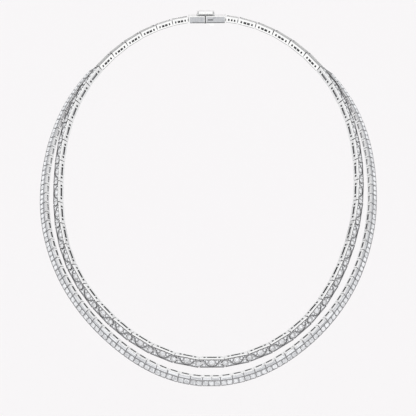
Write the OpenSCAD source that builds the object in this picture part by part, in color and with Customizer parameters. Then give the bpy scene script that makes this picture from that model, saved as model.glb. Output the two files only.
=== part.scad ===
// A two-strand jewelled collar in its worn shape: a loop of pinned links, closed by a box clasp at the nape.
// The origin is where the clasp rests on the nape, +Z is up and the throat lies towards -Y.
// Right is +X, as seen from the front, and bearings go round the loop that way from the nape: the throat
// is at 180.

/* [Loop] */
// Half the width of the inner strand's oval, to the middle of its links
loop_half_w = 58; // [54:0.5:62]
// Half its length from nape to throat, along the slope
loop_half_l = 74; // [70:0.5:78]
// Fullness of the oval's throat half, where 2 is an ellipse
throat_fullness = 2; // [1.95:0.05:2.1]
// Fullness of its nape half
nape_fullness = 2.15; // [2:0.05:2.25]
// How far the loop's plane slopes down to the throat, in degrees
slope = 25; // [10:1:35]
// How far the jewelled faces lean out of that plane's outward direction, in degrees
lean = 43; // [35:1:50]
// How much longer the links are on the left than their mean length, and shorter on the right, as a share
skew = 0.01; // [0:0.001:0.012]

/* [Inner strand] */
// Number of twist links
inner_count = 35; // [33:2:37]
// Width of the face of the middle link
inner_w = 3.7; // [3.4:0.1:3.9]
// How much narrower the last twist link is than the middle one
inner_narrowing = 0.8; // [0.5:0.1:1]
// Height of a link from its open back to its face
inner_h = 2.3; // [2.2:0.05:2.5]
// Length of the middle twist link between its joints, before the links are fitted to the loop
inner_pitch = 9.3; // [9:0.05:9.6]
// How much shorter the last twist link is than the middle one, as a share
inner_shortening = 0.075; // [0:0.005:0.1]

/* [Back chain] */
// Back links on the right, without the short end link
back_right = 5; // [4:1:6]
// Back links on the left
back_left = 6; // [5:1:7]
// Length of the back link nearest the clasp on the right
right_pitch = 7.35; // [7:0.05:7.6]
// Length of the back link nearest the clasp on the left
left_pitch = 6.4; // [6.2:0.1:6.8]
// How much longer each further back link is
back_growth = 0.23; // [0:0.01:0.3]
// Length of the short end link beside the clasp
end_pitch = 4.9; // [4.6:0.1:5.4]
// Width of the face of a back link beside the clasp
back_w = 2.7; // [2.6:0.1:2.8]

/* [Outer strand] */
// Number of channel links
outer_count = 79; // [77:2:81]
// Width of the face of the middle channel link
outer_w = 3.9; // [3.7:0.1:4]
// Width of the last channel link, where the strands meet
outer_end_w = 2.4; // [2.3:0.1:2.6]
// Height of a channel link
outer_h = 1.8; // [1.75:0.05:2]
// Length of the middle channel link, which holds three square stones, against its neighbours'
outer_middle_share = 1.5; // [1.4:0.05:1.6]
// How much shorter the last channel link is than the ones beside the middle, as a share
outer_shortening = 0.16; // [0:0.02:0.2]
// Where the outer strand is hung on the first and last twist links, as a share of their length
meet_share = 0.28; // [0.26:0.01:0.3]

/* [Clasp] */
// Reach of the clasp's joint to the right of the nape
clasp_right = 7.4; // [7.2:0.1:7.8]
// Reach of the clasp's joint to the left of the nape
clasp_left = 7.5; // [7.2:0.1:7.8]
// Where the clasp's halves part, left of the nape
clasp_split = 1.3; // [1:0.1:1.6]
// Width of the clasp's face
clasp_w = 3.1; // [3:0.1:3.4]
// Height of the clasp
clasp_h = 2.9; // [2.7:0.05:3]

/* [Stones] */
// Girdle of the middle link's round stone
round_d = 1.6; // [1.4:0.05:1.6]
// Clearance between a stone and its seat
stone_gap = 0.12; // [0.1:0.01:0.15]

/* [Hidden] */
$fn = 24;
metal = "gainsboro";
stone = "aliceblue";
overlap = 0.05;         // how far soldered pieces reach into each other
past = 1;               // how far a cut runs past what it cuts

// How far the chain lies outside or inside the even oval at every 30 degrees of bearing
drape = [0.7, 0, 0.4, -0.2, -0.8, 0.1, 0.2, -0.5, 0.6, -0.2, 0, -0.4];
// Distance between the strands' middles at every 30 degrees of bearing, where the first and the two last
// values only shape the ends of the outer strand
spread = [0, 1.4, 6.2, 7.9, 8.2, 6.4, 7.5, 6.1, 6.2, 8.1, 5.5, 1.4];

// Joints: a pin across the start of each link passes through the eye on the end of the link before it
joint_set = 0.6;        // from the middle of the gap between two inner links to the pin
outer_set = 0.5;
link_gap = 0.28;
outer_gap = 0.21;
pin_r = 0.22;
outer_pin_r = 0.2;
eye_hole_r = 0.42;
outer_hole_r = 0.36;
eye_r = 0.66;
outer_eye_r = 0.56;
eye_t = 0.8;
outer_eye_t = 0.7;
pin_drop = 0.4;         // the pins lie this far below the middle of a link's height
outer_drop = 0.25;

// Walls of the links
wall = 0.38;
outer_wall = 0.25;
plate = 0.7;            // thickness of the face
outer_plate = 0.45;
end_wall = 0.6;
outer_end_wall = 0.35;

// Heights over the pins
low = pin_drop - inner_h / 2;
high = pin_drop + inner_h / 2;
outer_low = outer_drop - outer_h / 2;
outer_high = outer_drop + outer_h / 2;
clasp_low = pin_drop - clasp_h / 2;
clasp_high = pin_drop + clasp_h / 2;

function unit(v) = v / norm(v);
function sum(v, to, i = 0, s = 0) = i >= to ? s : sum(v, to, i + 1, s + v[i]);

// The value of a table that goes round the loop, at a bearing, on a smooth curve through its rows
function around(table, bearing) =
    let (
        count = len(table),
        at = bearing / 360 * count,
        i = floor(at) + count,
        f = at - floor(at),
        p0 = table[(i - 1) % count],
        p1 = table[i % count],
        p2 = table[(i + 1) % count],
        p3 = table[(i + 2) % count]
    )
    p1 + f / 2 * (p2 - p0 + f * (2 * p0 - 5 * p1 + 4 * p2 - p3 + f * (3 * (p1 - p2) + p3 - p0)));

function oval_r(bearing) =
    let (n = cos(bearing) > 0 ? nape_fullness : throat_fullness)
    pow(pow(abs(sin(bearing)) / loop_half_w, n) + pow(abs(cos(bearing)) / loop_half_l, n), -1 / n);

// The middle of the inner strand, measured from the middle of the loop
slope_up = [0, cos(slope), sin(slope)];
plane_out = [0, -sin(slope), cos(slope)];
function inner_mid(bearing) =
    let (r = oval_r(bearing) + around(drape, bearing))
    [r * sin(bearing), 0, 0] + r * cos(bearing) * slope_up;

// Directions at a bearing: along the strand, out of the loop, out of the face and down the face
function along(bearing) = unit(inner_mid(bearing + 0.5) - inner_mid(bearing - 0.5));
function outward(bearing) = cross(plane_out, along(bearing));
function face_out(bearing) = cos(lean) * outward(bearing) + sin(lean) * plane_out;
function face_down(bearing) = sin(lean) * outward(bearing) - cos(lean) * plane_out;

function inner_pin(bearing) = inner_mid(bearing) - pin_drop * face_out(bearing);
function outer_pin(bearing) =
    inner_mid(bearing) + around(spread, bearing) * face_down(bearing) - outer_drop * face_out(bearing);

// The length of a line up to each of its points, as rows of [length, bearing]
function lengths(points, from, step) = [
    for (
        i = 0, s = 0;
        i < len(points);
        s = s + (i + 1 < len(points) ? norm(points[i + 1] - points[i]) : 0), i = i + 1
    ) [s, from + i * step]
];

// Bearings of the joints of links whose lengths are given as shares of what is left of a line
function joint_bearings(rows, from, to, shares) =
    let (count = len(shares), fit = (to - from) / sum(shares, count))
    [
        for (i = 0, s = from; i <= count; s = s + fit * (i < count ? shares[i] : 0), i = i + 1)
            lookup(s, rows)
    ];

// The links of the back chain and the inner strand, in order from the clasp's right end
step = 0.5;
inner_rows = lengths([for (b = [0 : step : 360]) inner_pin(b)], 0, step);
inner_total = inner_rows[len(inner_rows) - 1][0];
first_inner = back_right + 1;
last_inner = back_right + inner_count;
middle = (first_inner + last_inner) / 2;
link_count = 1 + back_right + inner_count + back_left;
half_inner = (inner_count - 1) / 2;
function from_middle(i) = abs(i - middle) / half_inner;
inner_shares = [
    for (i = [0 : link_count - 1])
        i == 0 ? end_pitch
        : i < first_inner ? right_pitch + back_growth * (i - 1)
        : i > last_inner ? left_pitch + back_growth * (link_count - 1 - i)
        : inner_pitch * (1 + skew * sign(i - middle)) * (1 - inner_shortening * pow(from_middle(i), 1.5))
];
inner_bearings = joint_bearings(inner_rows, clasp_right, inner_total - clasp_left, inner_shares);
inner_joints = [for (b = inner_bearings) inner_pin(b)];

// The outer strand runs from its lug on the first twist link to its lug on the last one
meet_right = inner_bearings[first_inner] * (1 - meet_share) + inner_bearings[first_inner + 1] * meet_share;
meet_left = inner_bearings[last_inner + 1] * (1 - meet_share) + inner_bearings[last_inner] * meet_share;
outer_steps = 640;
outer_step = (meet_left - meet_right) / outer_steps;
outer_rows = lengths(
    [for (i = [0 : outer_steps]) outer_pin(meet_right + i * outer_step)], meet_right, outer_step
);
outer_total = outer_rows[outer_steps][0];
half_outer = (outer_count - 1) / 2;
outer_shares = [
    for (i = [0 : outer_count - 1])
        i == half_outer ? outer_middle_share
        : (1 + skew * sign(i - half_outer)) * (1 - outer_shortening * abs(i - half_outer) / half_outer)
];
outer_bearings = joint_bearings(outer_rows, 2 * outer_set, outer_total, outer_shares);
outer_joints = [for (b = outer_bearings) outer_pin(b)];

// A link's place: its X from pin to pin, Y down its face, Z out of its face, the middle between its pins
// and its length
function place(p, q, face) =
    let (x = unit(q - p), y = unit(cross(face, x)))
    [x, y, cross(x, y), (p + q) / 2, norm(q - p)];
function places(joints, bearings) = [
    for (i = [0 : len(joints) - 2])
        place(joints[i], joints[i + 1], face_out((bearings[i] + bearings[i + 1]) / 2))
];
inner_places = places(inner_joints, inner_bearings);
outer_places = places(outer_joints, outer_bearings);
clasp_place = place(inner_joints[link_count], inner_joints[0], face_out(0));
inner_ring = concat(inner_places, [clasp_place]);

// The clasp's X is measured from the nape, so the loop moves to bring the clasp's inner wall to the origin
clasp_mid = (clasp_right - clasp_left) / 2;
nape = clasp_place[3] - clasp_mid * clasp_place[0] - clasp_w / 2 * clasp_place[1] + pin_drop * clasp_place[2];

module placed(at) {
    x = at[0];
    y = at[1];
    z = at[2];
    p = at[3] - nape;
    multmatrix([[x.x, y.x, z.x, p.x], [x.y, y.y, z.y, p.y], [x.z, y.z, z.z, p.z], [0, 0, 0, 1]]) children();
}

// How far the plane that halves the turn between two links leans in a link's own X and Y
function slant(at, other) =
    let (m = unit(at[0] + other[0]))
    (m * at[1]) / (m * at[0]);
function slants(list, i, closed) =
    let (n = len(list))
    [
        i == 0 && !closed ? 0 : slant(list[i], list[(i + n - 1) % n]),
        i == n - 1 && !closed ? 0 : slant(list[i], list[(i + 1) % n])
    ];

// Widths of the links' faces: the back links widen a little from the clasp, and the channel links narrow
// evenly towards the meeting point and faster just before it
back_widening = 0.15;
outer_narrowing = 0.6;
end_sharpness = 8;
function inner_width(i) =
    i < first_inner ? back_w + back_widening * i / back_right
    : i > last_inner ? back_w + back_widening * (link_count - 1 - i) / back_left
    : inner_w - inner_narrowing * pow(from_middle(i), 2);
function outer_width(i) =
    let (t = abs(i - half_outer) / half_outer, side_w = outer_w - outer_narrowing)
    outer_w - outer_narrowing * t - (side_w - outer_end_w) * pow(t, end_sharpness);

module prism(from, to) {
    translate([0, 0, from]) linear_extrude(to - from) children();
}

module bar_across(x, r, length) {
    translate([x, 0, 0]) rotate([90, 0, 0]) cylinder(r = r, h = length, center = true);
}

// A plan between two ends that follow the slants of the joints
module plan(x0, x1, w, ends) {
    y = w / 2;
    polygon([
        [x0 + ends[0] * y, -y], [x1 + ends[1] * y, -y], [x1 - ends[1] * y, y], [x0 - ends[0] * y, y]
    ]);
}

// The eye on a link's end, round the next link's pin
module eye(x, reach, r, hole_r, t) {
    difference() {
        union() {
            bar_across(x, r, t);
            translate([x - reach, -t / 2, -hole_r]) cube([reach, t, 2 * hole_r]);
        }
        bar_across(x, hole_r, t + past);
    }
}

// An open-backed channel with its pin and its eye, whose face and walls the children cut
module channel(at, w, ends, set, gap, heights, walls, pin, eye_sizes) {
    half = at[4] / 2;
    x0 = -half - set + gap / 2;
    x1 = half - set - gap / 2;
    inner_w = w - 2 * walls[0];
    difference() {
        prism(heights[0], heights[1]) plan(x0, x1, w, ends);
        prism(heights[0] - past, heights[1] - walls[1])
            translate([x0 - past, -inner_w / 2]) square([x1 - walls[2] - x0 + past, inner_w]);
        children();
    }
    bar_across(-half, pin, w - walls[0]);
    eye(half, set + gap / 2 + overlap, eye_sizes[0], eye_sizes[1], eye_sizes[2]);
}

// Windows through both side walls, each [middle, length]
module windows(list, w, z, h) {
    for (s = list)
        translate([s[0] - s[1] / 2, -w, z - h / 2]) cube([s[1], 2 * w, h]);
}

// Face of a twist link: a bed with a rim round it, cut by a wavy groove that dips to the outer edge by the
// link's middle and climbs to the neck's edge by its joints, and tabs that carry the round stones over the
// joints
groove_w = 0.26;
groove_inset = 0.3;
groove_depth = 0.25;
relief = 0.16;
rim = 0.22;
seat_y = -0.2;          // of the middle stone, towards the neck
tab_y = 0.2;            // of the joint's stone, away from the neck
tab_r = 1;
tab_gap = 0.15;
joint_seat_r = 0.55;
seat_depth = 0.25;
window_h = 0.85;

module wave(pitch, w) {
    reach = w / 2 - groove_inset;
    lift = (pow(pitch / 4, 2) - pow(reach, 2)) / (2 * reach);
    r = lift + reach;
    for (side = [-1, 0, 1])
        translate([side * (pitch / 2 - overlap / 2), side == 0 ? -lift : lift])
            intersection() {
                difference() {
                    circle(r + groove_w / 2);
                    circle(r - groove_w / 2);
                }
                translate([-pitch / 4, side == 0 ? lift - 2 * groove_w : -r - past])
                    square([pitch / 2, r + past - lift + 2 * groove_w]);
            }
}

// The windows in a wall, as shares of its length: a long one between two short ones
function twist_windows(run) = [[-0.31 * run, 0.09 * run], [0, 0.4 * run], [0.31 * run, 0.09 * run]];

// The tab of the joint at one end of a link: 1 and -1 give the end, and 0 has no tab
function tab_side(i) = i == middle ? 0 : i < middle ? 1 : -1;

module joint_disc(pitch, side, size, r, from, to) {
    translate([side * pitch / 2 - joint_set, tab_y * size, from]) cylinder(r = r, h = to - from);
}

module twist_link(i) {
    at = inner_places[i];
    pitch = at[4];
    w = inner_width(i);
    size = w / inner_w;
    ends = slants(inner_ring, i, true);
    side = tab_side(i);
    run = pitch - link_gap;
    hole_r = size * round_d / 2 + stone_gap;
    placed(at) {
        channel(
            at, w, ends, joint_set, link_gap, [low, high], [wall, plate, end_wall], pin_r,
            [eye_r, eye_hole_r, eye_t]
        ) {
            translate([-joint_set, 0]) windows(twist_windows(run), w, pin_drop, window_h);
            prism(high - relief, high + past)
                translate([-joint_set, 0]) plan(-run / 2 + rim, run / 2 - rim, w - 2 * rim, ends);
            prism(high - relief - groove_depth, high + past)
                translate([-joint_set, 0]) wave(pitch, w);
            translate([-joint_set, seat_y * size, pin_drop]) cylinder(r = hole_r, h = inner_h);
            if (side >= 0 && i > first_inner)
                joint_disc(pitch, -1, size, tab_r * size + tab_gap, high - plate - tab_gap, high + past);
            if (side <= 0 && i < last_inner)
                joint_disc(pitch, 1, size, tab_r * size + tab_gap, high - plate - tab_gap, high + past);
        }
        if (side != 0)
            difference() {
                joint_disc(pitch, side, size, tab_r * size, high - plate, high - relief);
                joint_disc(pitch, side, size, joint_seat_r * size, high - relief - seat_depth, high);
            }
    }
}

// The last links' lugs, which carry the outer strand: an eye on the right and a fork with a pin on the left
lug_t = 0.65;
lug_reach = 1.15;
lug_bite = 0.25;        // into the wall of the link that carries it
fork_wall = 0.3;
function side_gap(bearing, i) = around(spread, bearing) - inner_width(i) / 2;

// Shoulders: plates on the last twist links that widen towards the ends of the outer strand
shoulder_bite = 0.1;
function dots(v, at) = [v * at[0], v * at[1]];

// A point of another link's X and Y, in the X and Y of the link at a place
function seen_from(at, other, x, y) = dots(other[3] + x * other[0] + y * other[1] - at[3], at);

module shoulder(at, joint_end, w, depth, tip) {
    reach = joint_end - outer_set + (joint_end > 0 ? outer_gap / 2 : -outer_gap / 2);
    placed(at)
        prism(outer_high - outer_plate, outer_high)
            polygon([[reach, w / 2], [reach, -depth], tip]);
}

module right_lug() {
    at = outer_places[0];
    joint = -at[4] / 2;
    depth = side_gap(meet_right, first_inner) + lug_bite;
    first = inner_places[first_inner];
    start = -first[4] / 2 - joint_set + link_gap;
    edge = inner_width(first_inner) / 2 - shoulder_bite;
    placed(at) {
        eye(joint, lug_reach, outer_eye_r, outer_hole_r, outer_eye_t);
        translate([joint - lug_reach, -depth, -outer_hole_r])
            cube([lug_t, depth + outer_eye_t / 2, 2 * outer_hole_r]);
    }
    shoulder(at, joint, outer_width(0), depth, seen_from(at, first, start, edge));
}

module left_lug() {
    at = outer_places[outer_count - 1];
    joint = at[4] / 2;
    depth = side_gap(meet_left, last_inner) + lug_bite;
    fork_w = outer_eye_t + 2 * tab_gap + 2 * fork_wall;
    last = inner_places[last_inner];
    finish = last[4] / 2 - joint_set - link_gap;
    edge = inner_width(last_inner) / 2 - shoulder_bite;
    placed(at) {
        difference() {
            translate([joint - outer_pin_r - fork_wall / 2, -fork_w / 2, -outer_hole_r])
                cube([lug_reach + fork_wall + lug_t / 2, fork_w, 2 * outer_hole_r]);
            translate([joint - past, fork_wall - fork_w / 2, -past])
                cube([past + outer_eye_r + tab_gap, fork_w - 2 * fork_wall, 2 * past]);
        }
        bar_across(joint, outer_pin_r, fork_w - fork_wall);
        translate([joint + outer_eye_r + tab_gap, -depth, -outer_hole_r])
            cube([lug_t, depth, 2 * outer_hole_r]);
    }
    shoulder(at, joint, outer_width(outer_count - 1), depth, seen_from(at, last, finish, edge));
}

// A back link: the same channel with a plain rim round a long tray, and four windows in each wall, or three
// in the short end link's
tray_depth = 0.2;
function end_windows(run) = [for (k = [-1, 0, 1]) [k * 0.25 * run, 0.14 * run]];
function back_windows(run) = [
    [-0.31 * run, 0.09 * run], [-0.1 * run, 0.16 * run], [0.1 * run, 0.16 * run], [0.31 * run, 0.09 * run]
];

module back_link(i) {
    at = inner_places[i];
    w = inner_width(i);
    ends = slants(inner_ring, i, true);
    run = at[4] - link_gap;
    placed(at)
        channel(
            at, w, ends, joint_set, link_gap, [low, high], [wall, plate, end_wall], pin_r,
            [eye_r, eye_hole_r, eye_t]
        ) {
            translate([-joint_set, 0])
                windows(i == 0 ? end_windows(run) : back_windows(run), w, pin_drop, window_h);
            prism(high - tray_depth, high + past)
                translate([-joint_set, 0]) plan(-run / 2 + rim, run / 2 - rim, w - 3 * rim, ends);
        }
}

// A channel link of the outer strand: a row of squares down its outer edge and a baguette beside it
window_share = 0.62;    // of the wall's length
edge_rail = 0.2;
square_row = 1.9;
baguette_row = 1.3;
rail = 0.24;
pocket_depth = 0.25;
function row_middle(from, width, w) = w / 2 - (from + width / 2) * w / outer_w;

module channel_link(i) {
    at = outer_places[i];
    w = outer_width(i);
    size = w / outer_w;
    ends = slants(outer_places, i, false);
    run = at[4] - outer_gap;
    double = i == half_outer ? 2 : 1;
    placed(at)
        channel(
            at, w, ends, outer_set, outer_gap, [outer_low, outer_high],
            [outer_wall, outer_plate, outer_end_wall], outer_pin_r,
            [outer_eye_r, outer_hole_r, outer_eye_t]
        ) {
            translate([-outer_set, 0])
                windows(
                    [for (k = [1 : double]) [(k - (double + 1) / 2) * run / 2, window_share * run / double]],
                    w, outer_drop, window_h
                );
            translate([-outer_set, row_middle(edge_rail, square_row, w), outer_high - pocket_depth])
                pocket(run - 2 * rail, square_row * size);
            for (k = [1 : double])
                translate([baguette_x(run, k, double), baguette_y(w), outer_low])
                    pocket(run / double - 2 * rail, baguette_row * size);
        }
}

module pocket(length, width) {
    translate([-length / 2, -width / 2, 0]) cube([length, width, outer_h + past]);
}
function baguette_x(run, k, double) = (k - (double + 1) / 2) * run / double - outer_set;
function baguette_y(w) = row_middle(edge_rail + square_row + rail, baguette_row, w);

// A step-cut stone: its girdle at the plan's full size, a table above and a smaller flat below
baguette_crown = 0.2;
baguette_depth = 0.35;
module baguette(length, width) {
    rings = [[0.7, -baguette_depth], [1, 0], [0.72, baguette_crown]];   // share of the width, height
    inset = width / 2;
    polyhedron(
        points = [
            for (ring = rings, corner = [[-1, -1], [1, -1], [1, 1], [-1, 1]])
                [corner.x * (length / 2 - inset * (1 - ring[0])), corner.y * inset * ring[0], ring[1]]
        ],
        faces = [
            [0, 1, 2, 3],
            for (level = [0, 4], k = [0 : 3])
                let (next = (k + 1) % 4)
                [level + k, level + 4 + k, level + 4 + next, level + next],
            [11, 10, 9, 8]
        ]
    );
}

// A round stone with eight facets above its girdle and eight below it
module round_stone(d) {
    sides = 8;
    table = 0.56;
    crown = 0.16;
    depth = 0.42;
    polyhedron(
        points = [
            for (ring = [[table, crown * d], [1, 0]], k = [0 : sides - 1])
                [ring[0] * d / 2 * cos(k * 360 / sides), ring[0] * d / 2 * sin(k * 360 / sides), ring[1]],
            [0, 0, -depth * d]
        ],
        faces = [
            [for (k = [sides - 1 : -1 : 0]) k],
            for (k = [0 : sides - 1]) [k, (k + 1) % sides, sides + (k + 1) % sides, sides + k],
            for (k = [0 : sides - 1]) [sides + k, sides + (k + 1) % sides, 2 * sides]
        ]
    );
}

// The clasp, drawn with its X measured from the nape
panel_depth = 0.12;
panel_edge = 0.32;
joint_room = 1.6;
socket_wall = 0.45;
split_gap = 0.25;
thumb_gap = 0.8;
thumb_t = 1;
thumb_w = 2.3;
thumb_left = 3.3;
thumb_right = 3.6;
post_w = 0.7;
leaf_t = 0.35;
leaf_w = 1.9;
leaf_length = 3.5;
leaf_gap = 0.12;
leaf_step = 0.5;        // from the upper leaf's end to the parting
catch_x = 1.2;
catch_r = 1.1;
catch_slot = 1.3;

module clasp_placed() {
    placed(clasp_place) translate([-clasp_mid, 0, 0]) children();
}

module block(x0, x1, w, z0, z1) {
    translate([x0, -w / 2, z0]) cube([x1 - x0, w, z1 - z0]);
}

module wall_panels(x0, x1) {
    for (side = [-1, 1])
        translate([x0, side * clasp_w / 2 - panel_depth, clasp_low + panel_edge])
            cube([x1 - x0, 2 * panel_depth, clasp_h - 2 * panel_edge]);
}

// A thumb plate that stands off the face on a narrow post, with a round end
module thumb_plate(x0, x1, round_end) {
    block(x0, x1, post_w, clasp_high - overlap, clasp_high + thumb_gap + overlap);
    prism(clasp_high + thumb_gap, clasp_high + thumb_gap + thumb_t) {
        r = thumb_w / 2;
        translate([round_end > 0 ? x0 : x0 + r, -r]) square([x1 - x0 - r, thumb_w]);
        translate([round_end > 0 ? x1 - r : x0 + r, 0]) circle(r);
    }
}

module clasp_box() {
    color(metal)
        clasp_placed() {
            x0 = -clasp_left - joint_set + link_gap / 2;
            x1 = -clasp_split - split_gap / 2;
            ends = slants(inner_ring, link_count, true);
            hinge_room = x0 + joint_room;
            difference() {
                prism(clasp_low, clasp_high) plan(x0, x1, clasp_w, [ends[0], 0]);
                block(x0 - past, hinge_room, clasp_w - 2 * wall, clasp_low - past, clasp_high - plate);
                block(
                    hinge_room + end_wall, x1 + past, clasp_w - 2 * socket_wall,
                    clasp_low + socket_wall, clasp_high - socket_wall
                );
                wall_panels(hinge_room, x1 - panel_edge);
            }
            bar_across(-clasp_left, pin_r, clasp_w - wall);
            thumb_plate(x1 - thumb_left, x1, -1);
        }
}

module clasp_tongue() {
    color(metal)
        clasp_placed() {
            x0 = -clasp_split + split_gap / 2;
            x1 = clasp_right - joint_set - link_gap / 2;
            ends = slants(inner_ring, link_count, true);
            floor_z = clasp_low + socket_wall + leaf_gap;
            roof_z = clasp_high - socket_wall - leaf_gap;
            bend_r = (roof_z - floor_z) / 2;
            difference() {
                union() {
                    prism(clasp_low, clasp_high) plan(x0, x1, clasp_w, [0, ends[1]]);
                    translate([0, 0, clasp_low]) bar_across(catch_x, catch_r, clasp_w - 2 * panel_depth);
                }
                wall_panels(x0 + panel_edge, x1 - panel_edge);
                windows([[catch_x, catch_slot]], clasp_w, pin_drop / 2, leaf_t);
            }
            eye(clasp_right, joint_set + link_gap / 2 + overlap, eye_r, eye_hole_r, eye_t);
            thumb_plate(x0, x0 + thumb_right, 1);
            block(x0 - leaf_length, x0 + overlap, leaf_w, floor_z, floor_z + leaf_t);
            translate([x0 - leaf_length, 0, (floor_z + roof_z) / 2])
                difference() {
                    bar_across(0, bend_r, leaf_w);
                    bar_across(0, bend_r - leaf_t, leaf_w + past);
                    block(overlap, clasp_h, clasp_w, -clasp_h, clasp_h);
                }
            block(x0 - leaf_length, x0 - leaf_step, leaf_w, roof_z - leaf_t, roof_z);
        }
}

module back_chain_right() {
    color(metal)
        for (i = [0 : first_inner - 1]) back_link(i);
}

module back_chain_left() {
    color(metal)
        for (i = [last_inner + 1 : link_count - 1]) back_link(i);
}

module inner_strand_right() {
    color(metal) {
        union() {
            twist_link(first_inner);
            right_lug();
        }
        for (i = [first_inner + 1 : middle]) twist_link(i);
    }
}

module inner_strand_left() {
    color(metal) {
        for (i = [middle + 1 : last_inner - 1]) twist_link(i);
        union() {
            twist_link(last_inner);
            left_lug();
        }
    }
}

module outer_strand_right() {
    color(metal)
        for (i = [0 : half_outer]) channel_link(i);
}

module outer_strand_left() {
    color(metal)
        for (i = [half_outer + 1 : outer_count - 1]) channel_link(i);
}

module round_stones() {
    color(stone)
        for (i = [first_inner : last_inner]) {
            size = inner_width(i) / inner_w;
            placed(inner_places[i])
                translate([-joint_set, seat_y * size, high]) round_stone(size * round_d);
        }
}

module baguette_stones() {
    color(stone)
        for (i = [0 : outer_count - 1]) {
            at = outer_places[i];
            w = outer_width(i);
            run = at[4] - outer_gap;
            double = i == half_outer ? 2 : 1;
            placed(at)
                for (k = [1 : double])
                    translate([baguette_x(run, k, double), baguette_y(w), outer_high])
                        baguette(
                            run / double - 2 * rail - 2 * stone_gap,
                            baguette_row * w / outer_w - 2 * stone_gap
                        );
        }
}

clasp_box();
clasp_tongue();
back_chain_right();
back_chain_left();
inner_strand_right();
inner_strand_left();
outer_strand_right();
outer_strand_left();
round_stones();
baguette_stones();
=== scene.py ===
import bpy
import numpy as np
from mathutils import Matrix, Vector


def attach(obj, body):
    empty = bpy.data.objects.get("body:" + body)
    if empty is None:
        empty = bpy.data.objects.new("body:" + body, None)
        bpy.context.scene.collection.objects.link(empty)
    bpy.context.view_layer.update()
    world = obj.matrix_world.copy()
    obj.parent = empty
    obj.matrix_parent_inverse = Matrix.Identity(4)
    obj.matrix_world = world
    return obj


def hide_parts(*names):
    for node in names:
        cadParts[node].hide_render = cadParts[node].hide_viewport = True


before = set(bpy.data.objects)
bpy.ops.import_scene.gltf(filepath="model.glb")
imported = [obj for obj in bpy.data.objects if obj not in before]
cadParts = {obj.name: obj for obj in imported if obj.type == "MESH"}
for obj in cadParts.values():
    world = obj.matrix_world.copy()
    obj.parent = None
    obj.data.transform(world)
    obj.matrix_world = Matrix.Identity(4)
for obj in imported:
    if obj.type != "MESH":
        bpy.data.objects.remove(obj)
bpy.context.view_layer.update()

millimetre = 0.001
seed = 11

# The line of the strands, in millimetres and degrees: an oval that slopes down to the throat, what the
# chain strays from it and the distance between the strands, at even steps of bearing from the nape
loop = {
    "halfWidth": 58, "halfLength": 74, "throatFullness": 2, "napeFullness": 2.15, "slope": 25, "lean": 43,
    "drape": [0.7, 0, 0.4, -0.2, -0.8, 0.1, 0.2, -0.5, 0.6, -0.2, 0, -0.4],
    "spread": [0, 1.4, 6.2, 7.9, 8.2, 6.4, 7.5, 6.1, 6.2, 8.1, 5.5, 1.4],
    "skew": 0.01, "nearby": 0.5, "innerSamples": 721, "outerSamples": 641,
}
innerLinks = {
    "back": 5, "backLeft": 6, "twists": 35, "end": 4.9, "right": 7.35, "left": 6.4, "growth": 0.23,
    "pitch": 9.3, "shortening": 0.075, "lateness": 1.5, "clasp": (7.4, 7.5), "width": 3.7, "narrowing": 0.8,
    "set": 0.6, "gap": 0.28, "drop": 0.4, "high": 1.55, "seat": -0.2, "joint": 0.2, "round": 1.6,
    "relief": 0.16, "backWidth": 2.7, "widening": 0.15,
}
outerLinks = {
    "count": 79, "width": 3.9, "endWidth": 2.4, "narrowing": 0.6, "sharpness": 8, "middle": 1.5,
    "shortening": 0.16, "hang": 0.28, "set": 0.5, "gap": 0.21, "drop": 0.25, "high": 1.15,
    "edge": 0.2, "squares": 1.9, "rail": 0.24, "baguettes": 1.3,
}
claspWidth = 3.1


# Each vector divided by its length
def unit(v):
    return v / np.linalg.norm(v, axis=-1, keepdims=True)


# A smooth curve through the rows of a table that goes evenly round the loop
def around(table, bearing):
    rows = np.array(table, float)
    at = np.asarray(bearing) / 360 * len(rows)
    i = np.floor(at).astype(int)
    f = at - i
    p0, p1, p2, p3 = (rows[(i + k) % len(rows)] for k in (-1, 0, 1, 2))
    return p1 + f / 2 * (p2 - p0 + f * (2 * p0 - 5 * p1 + 4 * p2 - p3 + f * (3 * (p1 - p2) + p3 - p0)))


slope, lean = np.radians(loop["slope"]), np.radians(loop["lean"])
slopeUp = np.array([0, np.cos(slope), np.sin(slope)])
planeOut = np.array([0, -np.sin(slope), np.cos(slope)])


# Middle of the inner strand: (|sin b| / half width)^n + (|cos b| / half length)^n = r^-n, plus the drape
def innerMiddle(bearing):
    b = np.radians(bearing)
    n = np.where(np.cos(b) > 0, loop["napeFullness"], loop["throatFullness"])
    oval = (np.abs(np.sin(b)) / loop["halfWidth"]) ** n + (np.abs(np.cos(b)) / loop["halfLength"]) ** n
    r = oval ** (-1 / n) + around(loop["drape"], bearing)
    return (r * np.sin(b))[..., None] * [1, 0, 0] + (r * np.cos(b))[..., None] * slopeUp


# The direction that a link's face looks in, and the direction down the face, away from the neck
def facing(bearing):
    along = unit(innerMiddle(bearing + loop["nearby"]) - innerMiddle(bearing - loop["nearby"]))
    outward = np.cross(planeOut, along)
    return np.cos(lean) * outward + np.sin(lean) * planeOut, np.sin(lean) * outward - np.cos(lean) * planeOut


# Line of the inner strand's pins, a little behind its face
def innerPins(bearing):
    return innerMiddle(bearing) - innerLinks["drop"] * facing(bearing)[0]


# Line of the outer strand's pins: the inner one's middle, moved down the face by the spread
def outerPins(bearing):
    out, down = facing(bearing)
    return innerMiddle(bearing) + around(loop["spread"], bearing)[..., None] * down - outerLinks["drop"] * out


# Bearings of the joints of links that share a line's length, from one distance along it to another
def jointBearings(line, bearings, start, end, shares):
    reach = np.concatenate([[0], np.cumsum(np.linalg.norm(np.diff(line(bearings), axis=0), axis=1))])
    at = np.concatenate([[0], np.cumsum(shares)]) / np.sum(shares)
    return np.interp(start + (reach[-1] - end - start) * at, reach, bearings)


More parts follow.
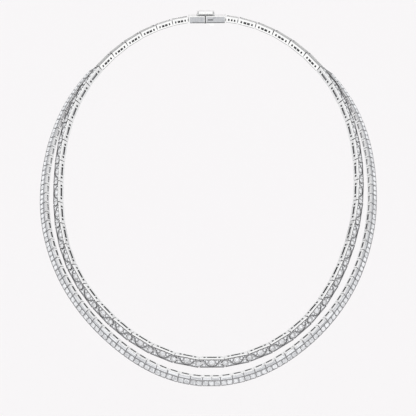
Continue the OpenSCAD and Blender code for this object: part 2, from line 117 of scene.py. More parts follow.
# Places of links between their pins: x along the link, y down its face, z out of its face
def linkPlaces(joints, bearings):
    p, q = joints[:-1], joints[1:]
    x = unit(q - p)
    y = unit(np.cross(facing((bearings[:-1] + bearings[1:]) / 2)[0], x))
    axes = np.stack([x, y, np.cross(x, y)], 1)
    return {"axes": axes, "middle": (p + q) / 2, "length": np.linalg.norm(q - p, axis=1)}


# The lean, in a link's own x and y, of the plane that halves the turn to its neighbour
def slants(axes, other):
    m = unit(axes[:, 0] + other[:, 0])
    return np.sum(m * axes[:, 1], 1) / np.sum(m * axes[:, 0], 1)


# Links of the inner strand: numbered from the clasp's right, round the throat and back to its left
linkCount = 1 + innerLinks["back"] + innerLinks["twists"] + innerLinks["backLeft"]
firstTwist = innerLinks["back"] + 1
lastTwist = innerLinks["back"] + innerLinks["twists"]
order = np.arange(linkCount)
twists = order[firstTwist:lastTwist + 1]
twistSpot = (order - (firstTwist + lastTwist) / 2) / ((innerLinks["twists"] - 1) / 2)
innerShares = np.where(
    order < firstTwist, innerLinks["right"] + innerLinks["growth"] * (order - 1),
    innerLinks["left"] + innerLinks["growth"] * (linkCount - 1 - order),
)
innerShares[0] = innerLinks["end"]
innerShares[twists] = (
    innerLinks["pitch"] * (1 + loop["skew"] * np.sign(twistSpot[twists]))
    * (1 - innerLinks["shortening"] * np.abs(twistSpot[twists]) ** innerLinks["lateness"])
)
innerLine = np.linspace(0, 360, loop["innerSamples"])
innerBearings = jointBearings(innerPins, innerLine, *innerLinks["clasp"], innerShares)
inner = linkPlaces(innerPins(innerBearings), innerBearings)

# Links of the outer strand, which hangs from the first twist link and the last
hang = outerLinks["hang"]
hangRight = innerBearings[firstTwist] * (1 - hang) + innerBearings[firstTwist + 1] * hang
hangLeft = innerBearings[lastTwist + 1] * (1 - hang) + innerBearings[lastTwist] * hang
outerOrder = np.arange(outerLinks["count"])
halfOuter = (outerLinks["count"] - 1) // 2
outerSpot = (outerOrder - halfOuter) / halfOuter
fromMiddle = np.abs(outerSpot)
outerShares = (1 + loop["skew"] * np.sign(outerSpot)) * (1 - outerLinks["shortening"] * fromMiddle)
outerShares[halfOuter] = outerLinks["middle"]
outerLine = np.linspace(hangRight, hangLeft, loop["outerSamples"])
outerBearings = jointBearings(outerPins, outerLine, 2 * outerLinks["set"], 0, outerShares)
outer = linkPlaces(outerPins(outerBearings), outerBearings)

# The slants of each link's two ends
clasp = linkPlaces(innerPins(innerBearings[[-1, 0]]), np.zeros(2))
ring = np.concatenate([inner["axes"], clasp["axes"]])
inner["ends"] = np.stack([slants(ring, np.roll(ring, 1, 0)), slants(ring, np.roll(ring, -1, 0))], 1)[:-1]
outer["ends"] = np.zeros((outerLinks["count"], 2))
outer["ends"][1:, 0] = slants(outer["axes"][1:], outer["axes"][:-1])
outer["ends"][:-1, 1] = slants(outer["axes"][:-1], outer["axes"][1:])

# The width of each link, and its size against the widest
fromClasp = np.minimum(order / innerLinks["back"], (linkCount - 1 - order) / innerLinks["backLeft"])
inner["width"] = np.where(
    np.abs(twistSpot) > 1, innerLinks["backWidth"] + innerLinks["widening"] * fromClasp,
    innerLinks["width"] - innerLinks["narrowing"] * twistSpot ** 2,
)
sideWidth = outerLinks["width"] - outerLinks["narrowing"]
outer["width"] = (
    outerLinks["width"] - outerLinks["narrowing"] * fromMiddle
    - (sideWidth - outerLinks["endWidth"]) * fromMiddle ** outerLinks["sharpness"]
)
for strand, sizes in ((inner, innerLinks), (outer, outerLinks)):
    strand["set"], strand["high"] = sizes["set"], sizes["high"]
    strand["run"] = strand["length"] - sizes["gap"]
    strand["size"] = strand["width"] / sizes["width"]

# The clasp's middle, and the nape, where the object has its origin
claspAlong, claspDown, claspOut = clasp["axes"][0]
claspMiddle = (innerLinks["clasp"][0] - innerLinks["clasp"][1]) / 2
claspHeart = clasp["middle"][0] - claspMiddle * claspAlong
nape = claspHeart - claspWidth / 2 * claspDown + innerLinks["drop"] * claspOut
print("loop laid out:", linkCount, "inner links,", outerLinks["count"], "outer links")


# Points in a link's own millimetres, as rows of [link, point, axis], brought to the object's metres
def inFrame(strand, links, points):
    turned = np.einsum("lpa,lab->lpb", points, strand["axes"][links])
    return (strand["middle"][links][:, None] + turned - nape) * millimetre


# The same faces for many copies of one set of points
def repeatFaces(faces, count, copies):
    return [[c * count + i for i in face] for c in range(copies) for face in faces]


# Copies of a small shape on links: each has a link, a middle and a half size along x, y and z
def stamped(shape, strand, links, middles, sizes):
    points = middles[:, None] + shape["points"][None] * sizes[:, None]
    points = inFrame(strand, links, points).reshape(-1, 3)
    return points, repeatFaces(shape["faces"], len(shape["points"]), len(links))


# Distance along a link of a share of its length, -0.5 to 0.5, at a distance y across it: the ends follow the
# slants of the joints
def alongLink(strand, links, share, y):
    lean = strand["ends"][links]
    slanted = y * (lean[:, 0] * (0.5 - share) + lean[:, 1] * (0.5 + share))
    return share * strand["run"][links] - strand["set"] - slanted


# One shape at the same places on each of many links: rows of [share of the length, distance across, half size],
# where the last two grow with the link's width
def spread(strand, links, spots, height):
    share, y, half = np.tile(np.asarray(spots, float), (len(links), 1)).T
    links = np.repeat(links, len(spots))
    size = strand["size"][links]
    x = share * strand["length"][links] - strand["set"]
    middles = np.column_stack([x, y * size, np.full(len(x), height)])
    return links, middles, np.repeat((half * size)[:, None], 3, 1)


# Half-round rails: the profile of half a circle, carried from one end of each link to the other
def rails(strand, links, across, height, radius, sides=6):
    turn = np.linspace(0, np.pi, sides + 1)
    y = across[:, None] - radius * np.cos(turn)
    z = np.broadcast_to(height + radius * np.sin(turn), y.shape)
    whole = np.repeat(links, sides + 1)
    ends = [alongLink(strand, whole, share, y.ravel()).reshape(y.shape) for share in (-0.5, 0.5)]
    points = np.concatenate([np.stack([x, y, z], 2) for x in ends], 1)
    n = sides + 1
    faces = [[k, n + k, n + k + 1, k + 1] for k in range(sides)] + [[sides, n + sides, n, 0]]
    faces += [list(range(n)), list(range(2 * n - 1, n - 1, -1))]
    return inFrame(strand, links, points).reshape(-1, 3), repeatFaces(faces, 2 * n, len(links))


blockSides = [[0, 2, 3, 1], [4, 5, 7, 6], [0, 1, 5, 4], [2, 6, 7, 3], [0, 4, 6, 2], [1, 3, 7, 5]]


# Blocks on links, from the x and the y of their eight corners and one [low, high] for all
def blocks(strand, links, x, y, z):
    points = np.stack([x, y, np.broadcast_to(np.repeat(z, 4), y.shape)], 2)
    return inFrame(strand, links, points).reshape(-1, 3), repeatFaces(blockSides, 8, len(links))


# The y of such corners, for blocks that reach across their links from start to end
def acrossCorners(start, end):
    return np.stack([start, start, end, end] * 2, 1)


# Many shapes as one: the faces of each count on from the points before it
def joined(parts):
    start = np.cumsum([0] + [len(points) for points, _ in parts])
    faces = [[i + s for i in face] for s, (_, some) in zip(start, parts) for face in some]
    return np.concatenate([points for points, _ in parts]), faces


# A piece of the object, with a mark of painted sparkle on each face where the finish reads one
def makePiece(name, shape, finish, paintedFacetLight=None):
    points, faces = shape
    mesh = bpy.data.meshes.new(name)
    mesh.from_pydata(points.tolist(), [], faces)
    if paintedFacetLight is not None:
        paintedSparkle = mesh.attributes.new("paintedSparkle", "FLOAT", "FACE")
        paintedSparkle.data.foreach_set("value", paintedFacetLight.astype(np.float32).ravel())
    mesh.materials.append(finish)
    mesh.validate()
    piece = bpy.data.objects.new(name, mesh)
    bpy.context.collection.objects.link(piece)
    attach(piece, "root")
    print(name, len(mesh.polygons), "faces")
    return piece


# A level ring of points round the middle
def levelRing(turn, radius, height):
    return np.stack([radius * np.cos(turn), radius * np.sin(turn), np.full(len(turn), height)], 1)


# Angles that go evenly round a ring
def evenTurns(sides):
    return np.arange(sides) * 2 * np.pi / sides


# The faces between two rings, from the numbers of their first points
def band(first, second, sides):
    return [[first + k, first + (k + 1) % sides, second + (k + 1) % sides, second + k] for k in range(sides)]


# Reach of a rounded square at an angle: 1 / (|cos|^n + |sin|^n)^(1/n), where n = 2 is a circle
def outlineReach(angle, squareness):
    return (np.abs(np.cos(angle)) ** squareness + np.abs(np.sin(angle)) ** squareness) ** (-1 / squareness)


# A cut stone of half size 1: a table, eight star facets, eight kites, sixteen girdle facets and eight below
def cutStone(look):
    turn = np.arange(16) * np.pi / 8
    reach = outlineReach(turn, look["squareness"])
    table, crown, breakAt = look["table"], look["crown"], look["breakAt"]
    share = (breakAt * np.cos(np.pi / 8) - table) / (1 - table)
    points = np.concatenate([
        levelRing(turn[::2], reach[::2] * table, crown),
        levelRing(turn[1::2], reach[1::2] * breakAt, crown * (1 - share)),
        levelRing(turn, reach, 0), [[0, 0, -look["depth"]]],
    ])
    faces = [list(range(8))]
    for k in range(8):
        after, before = (k + 1) % 8, (k + 7) % 8
        here, beside, beyond = 16 + 2 * k, 16 + 2 * k + 1, 16 + (2 * k + 2) % 16
        faces += [
            [k, 8 + k, after], [k, 8 + before, here, 8 + k],
            [8 + k, here, beside], [8 + k, beside, beyond],
            [32, beside, here, 16 + (2 * k + 15) % 16],
        ]
    return {"points": points, "faces": faces}


# A step-cut stone: rectangles one above another, each [share of the half width taken off, height]
def stepStone(length, width, steps):
    corners = np.array([[-1, -1], [1, -1], [1, 1], [-1, 1]])
    insets, heights = np.array(steps).T
    reach = np.repeat(np.stack([length / 2 - width / 2 * insets, width / 2 * (1 - insets)], 1), 4, 0)
    points = np.column_stack([np.tile(corners, (len(steps), 1)) * reach, np.repeat(heights, 4)])
    top = 4 * len(steps) - 4
    faces = [[0, 3, 2, 1], [top, top + 1, top + 2, top + 3]]
    for level in range(0, top, 4):
        faces += band(level, level + 4, 4)
    return {"points": points, "faces": faces}


# A small stone: a table, a crown and a point below, all with few sides
def smallStone(look):
    sides = look["sides"]
    turn = evenTurns(sides)
    points = np.concatenate([
        levelRing(turn, look["table"], look["crown"]), levelRing(turn, 1, 0), [[0, 0, -look["depth"]]],
    ])
    faces = [list(range(sides))]
    for k in range(sides):
        after = (k + 1) % sides
        faces += [[k, sides + k, sides + after, after], [sides + k, 2 * sides, sides + after]]
    return {"points": points, "faces": faces}


# A ring carried round a stone: its section is a row of [reach against the stone's, height] points
def collet(section, sides):
    faces = []
    for spot in range(len(section)):
        faces += band(spot * sides, (spot + 1) % len(section) * sides, sides)
    return {"points": np.concatenate([levelRing(evenTurns(sides), r, z) for r, z in section]), "faces": faces}


# A number inside a material: + - * between numbers add the Math nodes
class Number:
    def __init__(self, finish, socket):
        self.finish, self.socket = finish, socket

    def worked(self, operation, first, second):
        return self.finish.add("ShaderNodeMath", {"operation": operation}, {0: first, 1: second})

    def __add__(self, other):
        return self.worked("ADD", self, other)

    def __sub__(self, other):
        return self.worked("SUBTRACT", self, other)

    def __rsub__(self, other):
        return self.worked("SUBTRACT", other, self)

    def __mul__(self, other):
        return self.worked("MULTIPLY", self, other)

    __radd__, __rmul__ = __add__, __mul__


# The nodes of a material or of the sky
class Nodes:
    def __init__(self, tree):
        self.tree = tree

    # Any node: its settings first, then the values or links of its sockets
    def add(self, kind, settings=None, sockets=None, output=0):
        node = self.tree.nodes.new(kind)
        for key, value in (settings or {}).items():
            setattr(node, key, value)
        for key, value in (sockets or {}).items():
            self.join(node.inputs[key], value)
        return Number(self, node.outputs[output])

    def join(self, socket, value):
        if isinstance(value, Number):
            self.tree.links.new(value.socket, socket)
        else:
            socket.default_value = value

    def mix(self, factor, first, second):
        first, second = (c if isinstance(c, Number) else (*c, 1) for c in (first, second))
        return self.add("ShaderNodeMix", {"data_type": "RGBA"}, {0: factor, 6: first, 7: second}, output=2)

    # 0 below low, 1 above high and smooth between them
    def step(self, value, low, high):
        return self.add(
            "ShaderNodeMapRange", {"interpolation_type": "SMOOTHSTEP"},
            {"Value": value, "From Min": low, "From Max": high},
        )


# A material: its shader's sockets are set by their names, with _ for a space
class Finish(Nodes):
    def __init__(self, name):
        self.material = bpy.data.materials.new(name)
        self.material.use_nodes = True
        super().__init__(self.material.node_tree)
        self.shader = self.tree.nodes["Principled BSDF"]

    def set(self, **sockets):
        for key, value in sockets.items():
            self.join(self.shader.inputs[key.replace("_", " ")], value)

    def noise(self, scale, detail):
        spot = self.add("ShaderNodeTexCoord", output=3)
        return self.add("ShaderNodeTexNoise", None, {"Vector": spot, "Scale": scale, "Detail": detail})

    def mark(self, title):
        return self.add("ShaderNodeAttribute", {"attribute_name": title}, output=2)

    def bump(self, height, distance, strength):
        return self.add("ShaderNodeBump", None, {"Height": height, "Distance": distance, "Strength": strength})


# White metal: polished on the chain and the clasp, duller on the collets, and darker elsewhere as painted
# shade; all of it takes painted shade where it is closed in
metalLook = {
    "bright": (0.93, 0.93, 0.925), "worn": (0.85, 0.85, 0.85), "paintedShade": (0.08, 0.08, 0.085),
    "roughness": 0.07, "wear": 0.08, "wearScale": 900, "wearStep": (0.45, 0.75), "closed": (0.25, 0.65),
    "hairScale": 5200, "hairDepth": 0.00001, "hairStrength": 0.25, "shadeReach": 0.0032, "shadeSamples": 6,
}
metalLooks = {
    "whiteMetal": {},
    # Painted shade: the strands' metal is darker for the shadows between their stones
    "strandPaintedShadeMetal": {"bright": (0.74, 0.74, 0.745), "worn": (0.6, 0.6, 0.605)},
    "satinMetal": {
        "bright": (0.97, 0.97, 0.97), "worn": (0.9, 0.9, 0.9), "roughness": 0.45, "closed": (0.1, 0.4),
    },
    # Painted shadow: the dark, grey and pale metals colour sheets that stand where there is only shade
    "darkPaintedShadowMetal": {"bright": (0.1, 0.1, 0.105), "worn": (0.07, 0.07, 0.07), "roughness": 0.4},
    # Painted shade and dark reflection on the edges' grains
    "edgePaintedShadeMetal": {"bright": (0.2, 0.2, 0.21), "worn": (0.15, 0.15, 0.155), "roughness": 0.25},
    "greyPaintedShadowMetal": {
        "bright": (0.36, 0.36, 0.37), "worn": (0.26, 0.26, 0.27), "paintedShade": (0.2, 0.2, 0.21), "roughness": 0.4,
    },
    "palePaintedShadowMetal": {
        "bright": (0.75, 0.75, 0.76), "worn": (0.65, 0.65, 0.66), "paintedShade": (0.55, 0.55, 0.56),
        "roughness": 0.4,
    },
    # Painted shade and darker reflection on the clasp's walls
    "panelPaintedShadeMetal": {"bright": (0.6, 0.61, 0.63), "worn": (0.5, 0.51, 0.53), "roughness": 0.3},
}


# A metal with fine wear and hairlines, whose colour turns to a painted shade where ambient occlusion finds it
# closed in
def whiteMetal(name, look):
    finish = Finish(name)
    wear = finish.noise(look["wearScale"], detail=4)
    hair = finish.noise(look["hairScale"], detail=2)
    # Painted shade: the base colour darkens where the metal is closed in
    openness = finish.add(
        "ShaderNodeAmbientOcclusion", {"samples": look["shadeSamples"]}, {"Distance": look["shadeReach"]},
        output=1,
    )
    polished = finish.mix(finish.step(wear, *look["wearStep"]), look["bright"], look["worn"])
    finish.set(
        Base_Color=finish.mix(finish.step(openness, *look["closed"]), look["paintedShade"], polished),
        Metallic=1.0, Roughness=look["roughness"] + look["wear"] * wear,
        Normal=finish.bump(hair, look["hairDepth"], look["hairStrength"]),
    )
    return finish.material


metals = {name: whiteMetal(name, {**metalLook, **look}) for name, look in metalLooks.items()}
# The strands' solids take the darker metal of painted shade; the rest take white metal
for name in cadParts:
    if not name.endswith("stones"):
        for holder in cadParts[name].material_slots:
            holder.material = metals["strandPaintedShadeMetal" if "strand" in name else "whiteMetal"]

# Stone colours as painted light: pale and dim facets, and a painted glow on the brightest
stoneLook = {
    "pale": (0.93, 0.94, 0.96), "dim": (0.3, 0.31, 0.33), "paintedGlow": (0.22, 0.225, 0.23), "dark": (0, 0, 0),
    "roughness": 0.04, "clear": 0.15, "index": 2.4,
}


# Cut stones: each facet has a painted brightness of its own, a painted sparkle kept as a mark on the face, and
# the brightest glow with a painted glow
def cutStoneFinish(name, look):
    finish = Finish(name)
    paintedSparkle = finish.mark("paintedSparkle")
    finish.set(
        Base_Color=finish.mix(paintedSparkle, look["dim"], look["pale"]), Metallic=0.0,
        Emission_Color=finish.mix(paintedSparkle * paintedSparkle, look["dark"], look["paintedGlow"]), Emission_Strength=1.0,
        Roughness=look["roughness"], IOR=look["index"], Transmission_Weight=look["clear"],
    )
    return finish.material


stoneFinish = cutStoneFinish("cutStone", stoneLook)
random = np.random.default_rng(seed)
print("metals and stones finished")


# Painted brightness of the facets of many stones of one cut, drawn apart for the facets and the tables
def paintedSparkles(cut, copies, look):
    values = random.uniform(*look["facets"], (copies, len(cut["faces"])))
    values[:, 0] = random.uniform(*look["tablePaintedShine"], copies)
    return values


# Round stones of the inner strand: one in the middle of each twist link, as the solids have them
# The last two ranges are painted sparkle, for the facets and for the tables
roundLook = {
    "squareness": 2, "table": 0.58, "breakAt": 0.84, "crown": 0.3, "depth": 0.82, "facets": (0.3, 1),
    "tablePaintedShine": (0.6, 0.95),
}
roundCut = cutStone(roundLook)
middleSpot = [[0, innerLinks["seat"], innerLinks["round"] / 2]]
roundPlaces = spread(inner, twists, middleSpot, innerLinks["high"])
rounds = makePiece(
    "round_stones_cut", stamped(roundCut, inner, *roundPlaces), stoneFinish,
    paintedSparkles(roundCut, len(twists), roundLook),
)
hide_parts("round_stones")

# Stones over the joints of the inner strand, each on a tab of the link that is nearer to the nape
jointLook = {**roundLook, "depth": 0.6, "half": 0.74}
joints = twists[1:]
onRight = joints <= (firstTwist + lastTwist) // 2
carrier = np.where(onRight, joints - 1, joints)
size = inner["size"][carrier]
jointMiddles = np.column_stack([
    np.where(onRight, 1, -1) * inner["length"][carrier] / 2 - innerLinks["set"], innerLinks["joint"] * size,
    np.full(len(joints), innerLinks["high"]),
])
jointPlaces = carrier, jointMiddles, np.repeat((jointLook["half"] * size)[:, None], 3, 1)
jointCut = cutStone(jointLook)
makePiece(
    "joint_stones", stamped(jointCut, inner, *jointPlaces), stoneFinish,
    paintedSparkles(jointCut, len(joints), jointLook),
)

# Small stones on both sides of the groove, as [distance from the link's middle, distance across, half size]
smallLook = {
    "spots": [
        [1.3, 0.5, 0.24], [1.9, -0.5, 0.48], [2.75, -0.95, 0.22], [2.95, 0.98, 0.48], [3.1, 0.05, 0.26],
        [2.15, 1.0, 0.22], [3.75, 1.18, 0.2],
    ],
    # Its cut, and painted sparkle for its facets and tables
    "sides": 8, "table": 0.55, "crown": 0.3, "depth": 0.7, "above": 0.08, "facets": (0.7, 1),
    "tablePaintedShine": (0.85, 1),
}
halfSpots = np.array(smallLook["spots"]) / [innerLinks["pitch"], 1, 1]
smallSpots = np.concatenate([halfSpots, halfSpots * [-1, 1, 1]])
bed = innerLinks["high"] - innerLinks["relief"]
smallCut = smallStone(smallLook)
smallPlaces = spread(inner, twists, smallSpots, bed + smallLook["above"])
makePiece(
    "small_stones", stamped(smallCut, inner, *smallPlaces), stoneFinish,
    paintedSparkles(smallCut, len(twists) * len(smallSpots), smallLook),
)

# Collets round these stones, with their sections as [reach against the stone's, height]
colletLook = {
    "wide": [[1.05, -0.3], [1.32, -0.3], [1.2804, 0.12], [1.0815, 0.12]], "wideSides": 16,
    "narrow": [[1, -0.5], [1.3, -0.5], [1.1, 0.12]], "narrowSides": 8, "above": 0.04,
}
wideCollet = collet(colletLook["wide"], colletLook["wideSides"])
narrowCollet = collet(colletLook["narrow"], colletLook["narrowSides"])
narrowPlaces = spread(inner, twists, smallSpots, bed + colletLook["above"])
collets = joined([
    stamped(wideCollet, inner, *roundPlaces), stamped(wideCollet, inner, *jointPlaces),
    stamped(narrowCollet, inner, *narrowPlaces),
])
makePiece("collets", collets, metals["satinMetal"])

# Half-round rails along the strands' edges on the neck's side
railLook = {"inner": 0.2, "outer": outerLinks["rail"] / 2}
neckRails = joined([
    rails(strand, links, half - strand["width"][links] / 2, strand["high"], half)
    for strand, links, half in ((inner, twists, railLook["inner"]), (outer, outerOrder, railLook["outer"]))
])
makePiece("neck_rails", neckRails, metals["whiteMetal"])

# Grains along the strands' other edges, each row on a rail of its own, in a dark metal that paints the edge's
# shade and dark reflection
grainLook = {
    "sides": 5, "rings": [(1, -0.4), (0.8, 0.6)], "reach": 0.97, "railLower": 0.03,
    "inner": {"count": 26, "half": 0.11, "inset": 0.11, "lower": 0},
    "outer": {"count": 13, "half": 0.12, "inset": 0.14, "lower": 0.09},
}


# A grain of metal: a dome of half size 1 on a flat foot, through rings of [reach, height]
def grain(sides, rings):
    faces = [list(range(sides))[::-1]] + band(0, sides, sides)
    faces += [[sides + k, sides + (k + 1) % sides, 2 * sides] for k in range(sides)]
    points = [levelRing(evenTurns(sides), r, z) for r, z in rings] + [[[0, 0, 1]]]
    return {"points": np.concatenate(points), "faces": faces}


# Rows of grains along a line at a distance across each link
def grainRows(strand, links, across, height, row):
    share = np.tile((np.arange(row["count"]) + 0.5) / row["count"] - 0.5, len(links)) * grainLook["reach"]
    whole, y = np.repeat(links, row["count"]), np.repeat(across, row["count"])
    middles = np.column_stack([alongLink(strand, whole, share, y), y, np.full(len(y), height)])
    return stamped(grainShape, strand, whole, middles, np.full((len(y), 3), row["half"]))


grainShape = grain(grainLook["sides"], grainLook["rings"])
grainParts, grainRails = [], []
for strand, links, row in ((inner, twists, grainLook["inner"]), (outer, outerOrder, grainLook["outer"])):
    y, z = strand["width"][links] / 2 - row["inset"], strand["high"] - row["lower"]
    grainParts.append(grainRows(strand, links, y, z, row))
    grainRails.append(rails(strand, links, y, z - grainLook["railLower"], row["half"]))
makePiece("edge_grains_painted_dark", joined(grainParts + grainRails), metals["edgePaintedShadeMetal"])

# Leaves of painted shadow, dark, grey or pale, standing where there is only shade: upright behind the windows
# of the neck's wall, flat beside the neck's rail, along the foot of the back links' wall, below the square
# stones and beside them
shadowLeafLook = {
    "behind": 0.06, "thickness": 0.1, "windowShare": 0.4, "greyFrom": 0.45, "paleFrom": 0.6,
    "inner": {"wall": 0.38, "high": (-0.7, 0.84)}, "outer": {"wall": 0.25, "high": (-0.6, 0.69)},
    "railLine": (0.46, 0.62), "railLineHigh": (-0.1, 0.05), "railLineShare": 0.47,
    "proud": 0.02, "footHigh": (-0.74, -0.58), "tray": (-0.24, -0.08), "trayShare": 0.44,
    "squareLine": 0.14, "squareLineHigh": (-0.15, 0.02), "lineShare": 0.49,
}


# Upright or flat leaves of painted shadow from one [low, high] across each link to another out of its face
def shadowLeaves(strand, links, y, z, share):
    corners = acrossCorners(*y)
    side = np.tile([-share, share], 4 * len(links))
    x = alongLink(strand, np.repeat(links, 8), side, corners.ravel()).reshape(corners.shape)
    return blocks(strand, links, x, corners, z)


# Painted shadow leaves behind the windows, which make them dark: a little further in than the wall on the
# neck's side
def windowShadowLeaves(strand, links, look):
    start = look["wall"] + shadowLeafLook["behind"] - strand["width"][links] / 2
    return shadowLeaves(strand, links, (start, start + shadowLeafLook["thickness"]), look["high"], shadowLeafLook["windowShare"])


innerSide = (np.abs(twistSpot) > shadowLeafLook["greyFrom"]) & (np.abs(twistSpot) <= 1)
railLine = [inset - inner["width"][twists] / 2 for inset in shadowLeafLook["railLine"]]
railLineHigh = [bed + z for z in shadowLeafLook["railLineHigh"]]
darkShadowLeaves = joined([
    windowShadowLeaves(inner, order[~innerSide], shadowLeafLook["inner"]),
    shadowLeaves(inner, twists, railLine, railLineHigh, shadowLeafLook["railLineShare"]),
])
makePiece("dark_painted_shadow_leaves", darkShadowLeaves, metals["darkPaintedShadowMetal"])

shadowWebLook = {"reach": 0.35, "top": 0.12, "foot": 0.35, "side": 0.3, "innerLower": 0.1}


# Webs of painted shadow below the gaps between links, which make the gaps dark: each reaches from a link's
# start under the end of the one before it
def shadowWebs(strand, links, high):
    half = strand["width"][links] / 2 - shadowWebLook["side"]
    start = -strand["length"][links] / 2 - strand["set"]
    x = np.stack([start - shadowWebLook["reach"], start + shadowWebLook["reach"]] * 4, 1)
    return blocks(strand, links, x, acrossCorners(-half, half), (high - shadowWebLook["foot"], high - shadowWebLook["top"]))


outerSide = fromMiddle > shadowLeafLook["paleFrom"]
backs = np.setdiff1d(order, twists)
footStart = -shadowLeafLook["proud"] - inner["width"][backs] / 2
trayTop = outer["width"] / 2 - outerLinks["edge"] * outer["size"]
trayFoot = trayTop - outerLinks["squares"] * outer["size"]
trayHigh = [outerLinks["high"] + z for z in shadowLeafLook["tray"]]
squareLine = trayFoot - shadowLeafLook["squareLine"] * outer["size"]
squareLineHigh = [outerLinks["high"] + z for z in shadowLeafLook["squareLineHigh"]]
greyShadowLeaves = joined([
    shadowWebs(inner, joints, innerLinks["high"] - shadowWebLook["innerLower"]),
    shadowWebs(outer, outerOrder[1:], outerLinks["high"]),
    windowShadowLeaves(outer, outerOrder[~outerSide], shadowLeafLook["outer"]),
    windowShadowLeaves(inner, order[innerSide], shadowLeafLook["inner"]),
    shadowLeaves(
        inner, backs, (footStart, footStart + shadowLeafLook["thickness"]), shadowLeafLook["footHigh"],
        shadowLeafLook["lineShare"],
    ),
    shadowLeaves(outer, outerOrder, (trayFoot, trayTop), trayHigh, shadowLeafLook["trayShare"]),
    shadowLeaves(outer, outerOrder, (squareLine, trayFoot), squareLineHigh, shadowLeafLook["lineShare"]),
])
makePiece("grey_painted_shadow_leaves", greyShadowLeaves, metals["greyPaintedShadowMetal"])
paleShadowLeaves = windowShadowLeaves(outer, outerOrder[outerSide], shadowLeafLook["outer"])
makePiece("pale_painted_shadow_leaves", paleShadowLeaves, metals["palePaintedShadowMetal"])

# Baguettes of the outer strand, their painted sparkle dimmer towards the sides
baguetteLook = {
    "steps": [(0.75, -0.35), (0.35, -0.2), (0, 0), (0.16, 0.1), (0.36, 0.17), (0.6, 0.2)],
    # Painted sparkle on the facets, painted dimmer towards the sides
    "end": 0.1, "side": 0.1, "facets": (0.35, 1), "paintedDull": 0.85, "spread": 1.5,
}
fromEdge = outerLinks["edge"] + outerLinks["squares"] + outerLinks["rail"] + outerLinks["baguettes"] / 2
stones, facets = [], []
for link in outerOrder:
    count = 2 if link == halfOuter else 1
    run, size = outer["run"][link] / count, outer["size"][link]
    cut = stepStone(
        run - 2 * baguetteLook["end"], outerLinks["baguettes"] * size - 2 * baguetteLook["side"],
        baguetteLook["steps"],
    )
    # Painted reflection: the facets are painted dimmer towards the sides
    paintedDulling = 1 - baguetteLook["paintedDull"] * fromMiddle[link] ** baguetteLook["spread"]
    for part in range(count):
        x = (part - (count - 1) / 2) * run - outerLinks["set"]
        spot = [x, outer["width"][link] / 2 - fromEdge * size, outerLinks["high"]]
        stones.append(stamped(cut, outer, np.array([link]), np.array([spot]), np.ones((1, 3))))
        facets.append(random.uniform(*baguetteLook["facets"], len(cut["faces"])) * paintedDulling)
baguettes = makePiece(
    "baguette_stones_cut", joined(stones), stoneFinish, np.concatenate(facets)
)
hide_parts("baguette_stones")

# Square-set stones down the outer edge: two on each channel link and three on the middle one, evenly spaced
# across the joints
squareLook = {
    "half": 0.88, "between": 0.26, "sunk": 0.03, "squareness": 5, "table": 0.64, "breakAt": 0.84,
    # The facet and table ranges are painted sparkle
    "crown": 0.25, "depth": 0.3, "facets": (0.2, 1), "tablePaintedShine": (0.5, 0.9), "paintedSideShine": 0.22,
}
perLink = np.where(outerOrder == halfOuter, 3, 2)
squareLinks = np.repeat(outerOrder, perLink)
place = np.concatenate([(np.arange(count) + 0.5) / count - 0.5 for count in perLink])
size = outer["size"][squareLinks]
squareMiddles = np.column_stack([
    place * outer["length"][squareLinks] - outerLinks["set"],
    outer["width"][squareLinks] / 2 - (outerLinks["edge"] + outerLinks["squares"] / 2) * size,
    np.full(len(size), outerLinks["high"] - squareLook["sunk"]),
])
halfLong = outer["length"][squareLinks] / np.repeat(perLink, perLink) / 2 - squareLook["between"] / 2
halfWide = squareLook["half"] * size
squareSizes = np.column_stack([halfLong, halfWide, halfWide])
squareCut = cutStone(squareLook)
squarePaintedSparkles = paintedSparkles(squareCut, len(squareLinks), squareLook)
# Painted highlight: the squares are painted brighter towards the sides
squarePaintedSparkles += squareLook["paintedSideShine"] * fromMiddle[squareLinks][:, None]
makePiece(
    "square_stones", stamped(squareCut, outer, squareLinks, squareMiddles, squareSizes), stoneFinish,
    squarePaintedSparkles,
)

# Clasp: grey panels of painted shade let into its walls, inside bright rims, and a grey skin of painted shade
# on its neck's side
claspLook = {
    "split": 1.3, "foot": -1.05, "top": 1.85, "rim": 0.34, "depth": 0.12, "behind": 0.05, "shown": 0.04,
    "room": 0.7, "beside": 0.36, "proud": 0.03, "shadeSkin": (0.5, 1.75),
}
claspAxes = {"axes": clasp["axes"], "middle": claspHeart[None]}
claspRight = innerLinks["clasp"][0] - innerLinks["set"] - innerLinks["gap"] / 2
claspLeft = innerLinks["clasp"][1] + innerLinks["set"] - innerLinks["gap"] / 2
panelLeft, panelRight = claspLook["room"] - claspLeft, claspRight - claspLook["rim"]
panelFoot, panelTop = claspLook["foot"] + claspLook["rim"], claspLook["top"] - claspLook["rim"]
shadeSkinStart, shadeSkinEnd = (x - claspLeft for x in claspLook["shadeSkin"])
neckShadeSkin = (-claspLook["proud"] - claspWidth / 2, claspLook["depth"] - claspWidth / 2)


# A block on the clasp, from [start, end] along its x, y and z
def claspBlock(x, y, z):
    corners = [[p, q, r] for r in z for q in y for p in x]
    return inFrame(claspAxes, np.array([0]), np.array([corners], float))[0], blockSides


shadePanels = []
for side in (-1, 1):
    insets = (claspLook["depth"] + claspLook["behind"], claspLook["depth"] - claspLook["shown"])
    y = sorted(side * (claspWidth / 2 - inset) for inset in insets)
    for x in (
        (panelLeft, -claspLook["split"] - claspLook["beside"]),
        (claspLook["beside"] - claspLook["split"], panelRight),
    ):
        shadePanels.append(claspBlock(x, y, (panelFoot, panelTop)))
shadePanels.append(claspBlock((shadeSkinStart, shadeSkinEnd), neckShadeSkin, (panelFoot, panelTop)))
makePiece("clasp_painted_shade_panels", joined(shadePanels), metals["panelPaintedShadeMetal"])

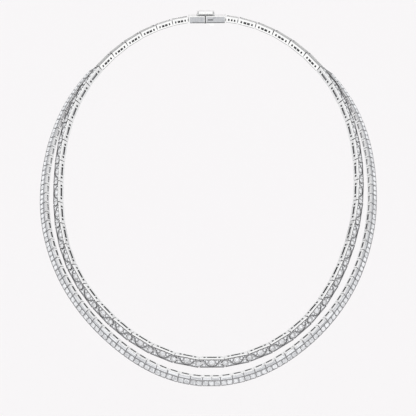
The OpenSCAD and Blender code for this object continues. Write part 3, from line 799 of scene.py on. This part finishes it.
# Painted shadow lines on the clasp: where its halves part, its slot and the foot of its panels
claspShadowLineLook = {"seam": 0.5, "fill": 0.1, "line": 0.24, "slot": (-0.2, 1.7), "slotHigh": (0.15, 0.5)}
seamStart = -claspLook["split"] - claspShadowLineLook["seam"] / 2
fillStart, fillEnd = -claspLook["split"] - claspShadowLineLook["fill"], claspShadowLineLook["fill"] - claspLook["split"]
claspHigh = (claspLook["foot"], claspLook["top"])
claspShadowLines = joined([
    claspBlock((seamStart, seamStart + claspShadowLineLook["seam"]), neckShadeSkin, claspHigh),
    claspBlock((fillStart, fillEnd), (neckShadeSkin[1], claspWidth / 2 - claspLook["depth"]), claspHigh),
    claspBlock(claspShadowLineLook["slot"], neckShadeSkin, claspShadowLineLook["slotHigh"]),
    claspBlock((panelLeft, panelRight), neckShadeSkin, (panelFoot - claspShadowLineLook["line"], panelFoot)),
])
makePiece("clasp_painted_shadow_lines", claspShadowLines, metals["darkPaintedShadowMetal"])

# The camera stands where the photograph's did, 38 degrees above the loop's middle
camera = {
    "elevation": 38, "distance": 1.5, "middle": (0, -0.06582, -0.03195), "view": 6.112, "aimDown": 0.00812,
    "aimLeft": 0.00023, "sensor": 36, "clip": (0.1, 20),
}
cameraTilt = np.radians(camera["elevation"])
toCamera = Vector((0, -np.cos(cameraTilt), np.sin(cameraTilt)))
pictureUp = Vector((0, np.sin(cameraTilt), np.cos(cameraTilt)))
middle = Vector(camera["middle"])
lens = bpy.data.cameras.new("photoCamera")
lens.sensor_width = camera["sensor"]
lens.lens_unit = "FOV"
lens.angle = np.radians(camera["view"])
lens.clip_start, lens.clip_end = camera["clip"]
viewer = bpy.data.objects.new("photoCamera", lens)
bpy.context.collection.objects.link(viewer)
viewer.location = middle + toCamera * camera["distance"]
aim = middle - pictureUp * camera["aimDown"] - Vector((camera["aimLeft"], 0, 0))
viewer.rotation_euler = (viewer.location - aim).to_track_quat("Z", "Y").to_euler()
bpy.context.scene.camera = viewer

# A pale floor far below, a bright dome overhead and towards the back, and grey low down all round
studio = {
    "floor": -0.3, "floorHalf": 2.5, "floorColour": (0.865, 0.85, 0.858), "floorRoughness": 0.9,
    "floorShine": 0.1, "dome": (1.1, 1.1, 1.1), "low": (0.45, 0.45, 0.46), "side": 0.19, "back": 0.035,
    "corner": 0.085, "soft": 0.03,
}
floorMesh = bpy.data.meshes.new("floor")
half = studio["floorHalf"]
floorSpots = [(-half, -half), (half, -half), (half, half), (-half, half)]
floorCorners = [(x, y, studio["floor"]) for x, y in floorSpots]
floorMesh.from_pydata(floorCorners, [], [(0, 1, 2, 3)])
floor = bpy.data.objects.new("floor", floorMesh)
floorFinish = Finish("paleFloor")
floorFinish.set(
    Base_Color=(*studio["floorColour"], 1), Roughness=studio["floorRoughness"],
    Specular_IOR_Level=studio["floorShine"],
)
floorMesh.materials.append(floorFinish.material)
bpy.context.collection.objects.link(floor)

# The dome begins where up = side * |x| - back * y + corner * y * |x|, in the direction of the light
world = bpy.data.worlds.new("studioSky")
bpy.context.scene.world = world
world.use_nodes = True
sky = Nodes(world.node_tree)
way = sky.add("ShaderNodeTexCoord")
sideways, back, up = (sky.add("ShaderNodeSeparateXYZ", None, {0: way}, output=axis) for axis in range(3))
aside = sky.add("ShaderNodeMath", {"operation": "ABSOLUTE"}, {0: sideways})
edge = studio["side"] * aside - studio["back"] * back + studio["corner"] * back * aside
bright = sky.step(up - edge, -studio["soft"], studio["soft"])
sky.join(world.node_tree.nodes["Background"].inputs["Color"], sky.mix(bright, studio["low"], studio["dome"]))
bpy.context.scene.view_settings.view_transform = "Standard"
print("camera and studio in place")
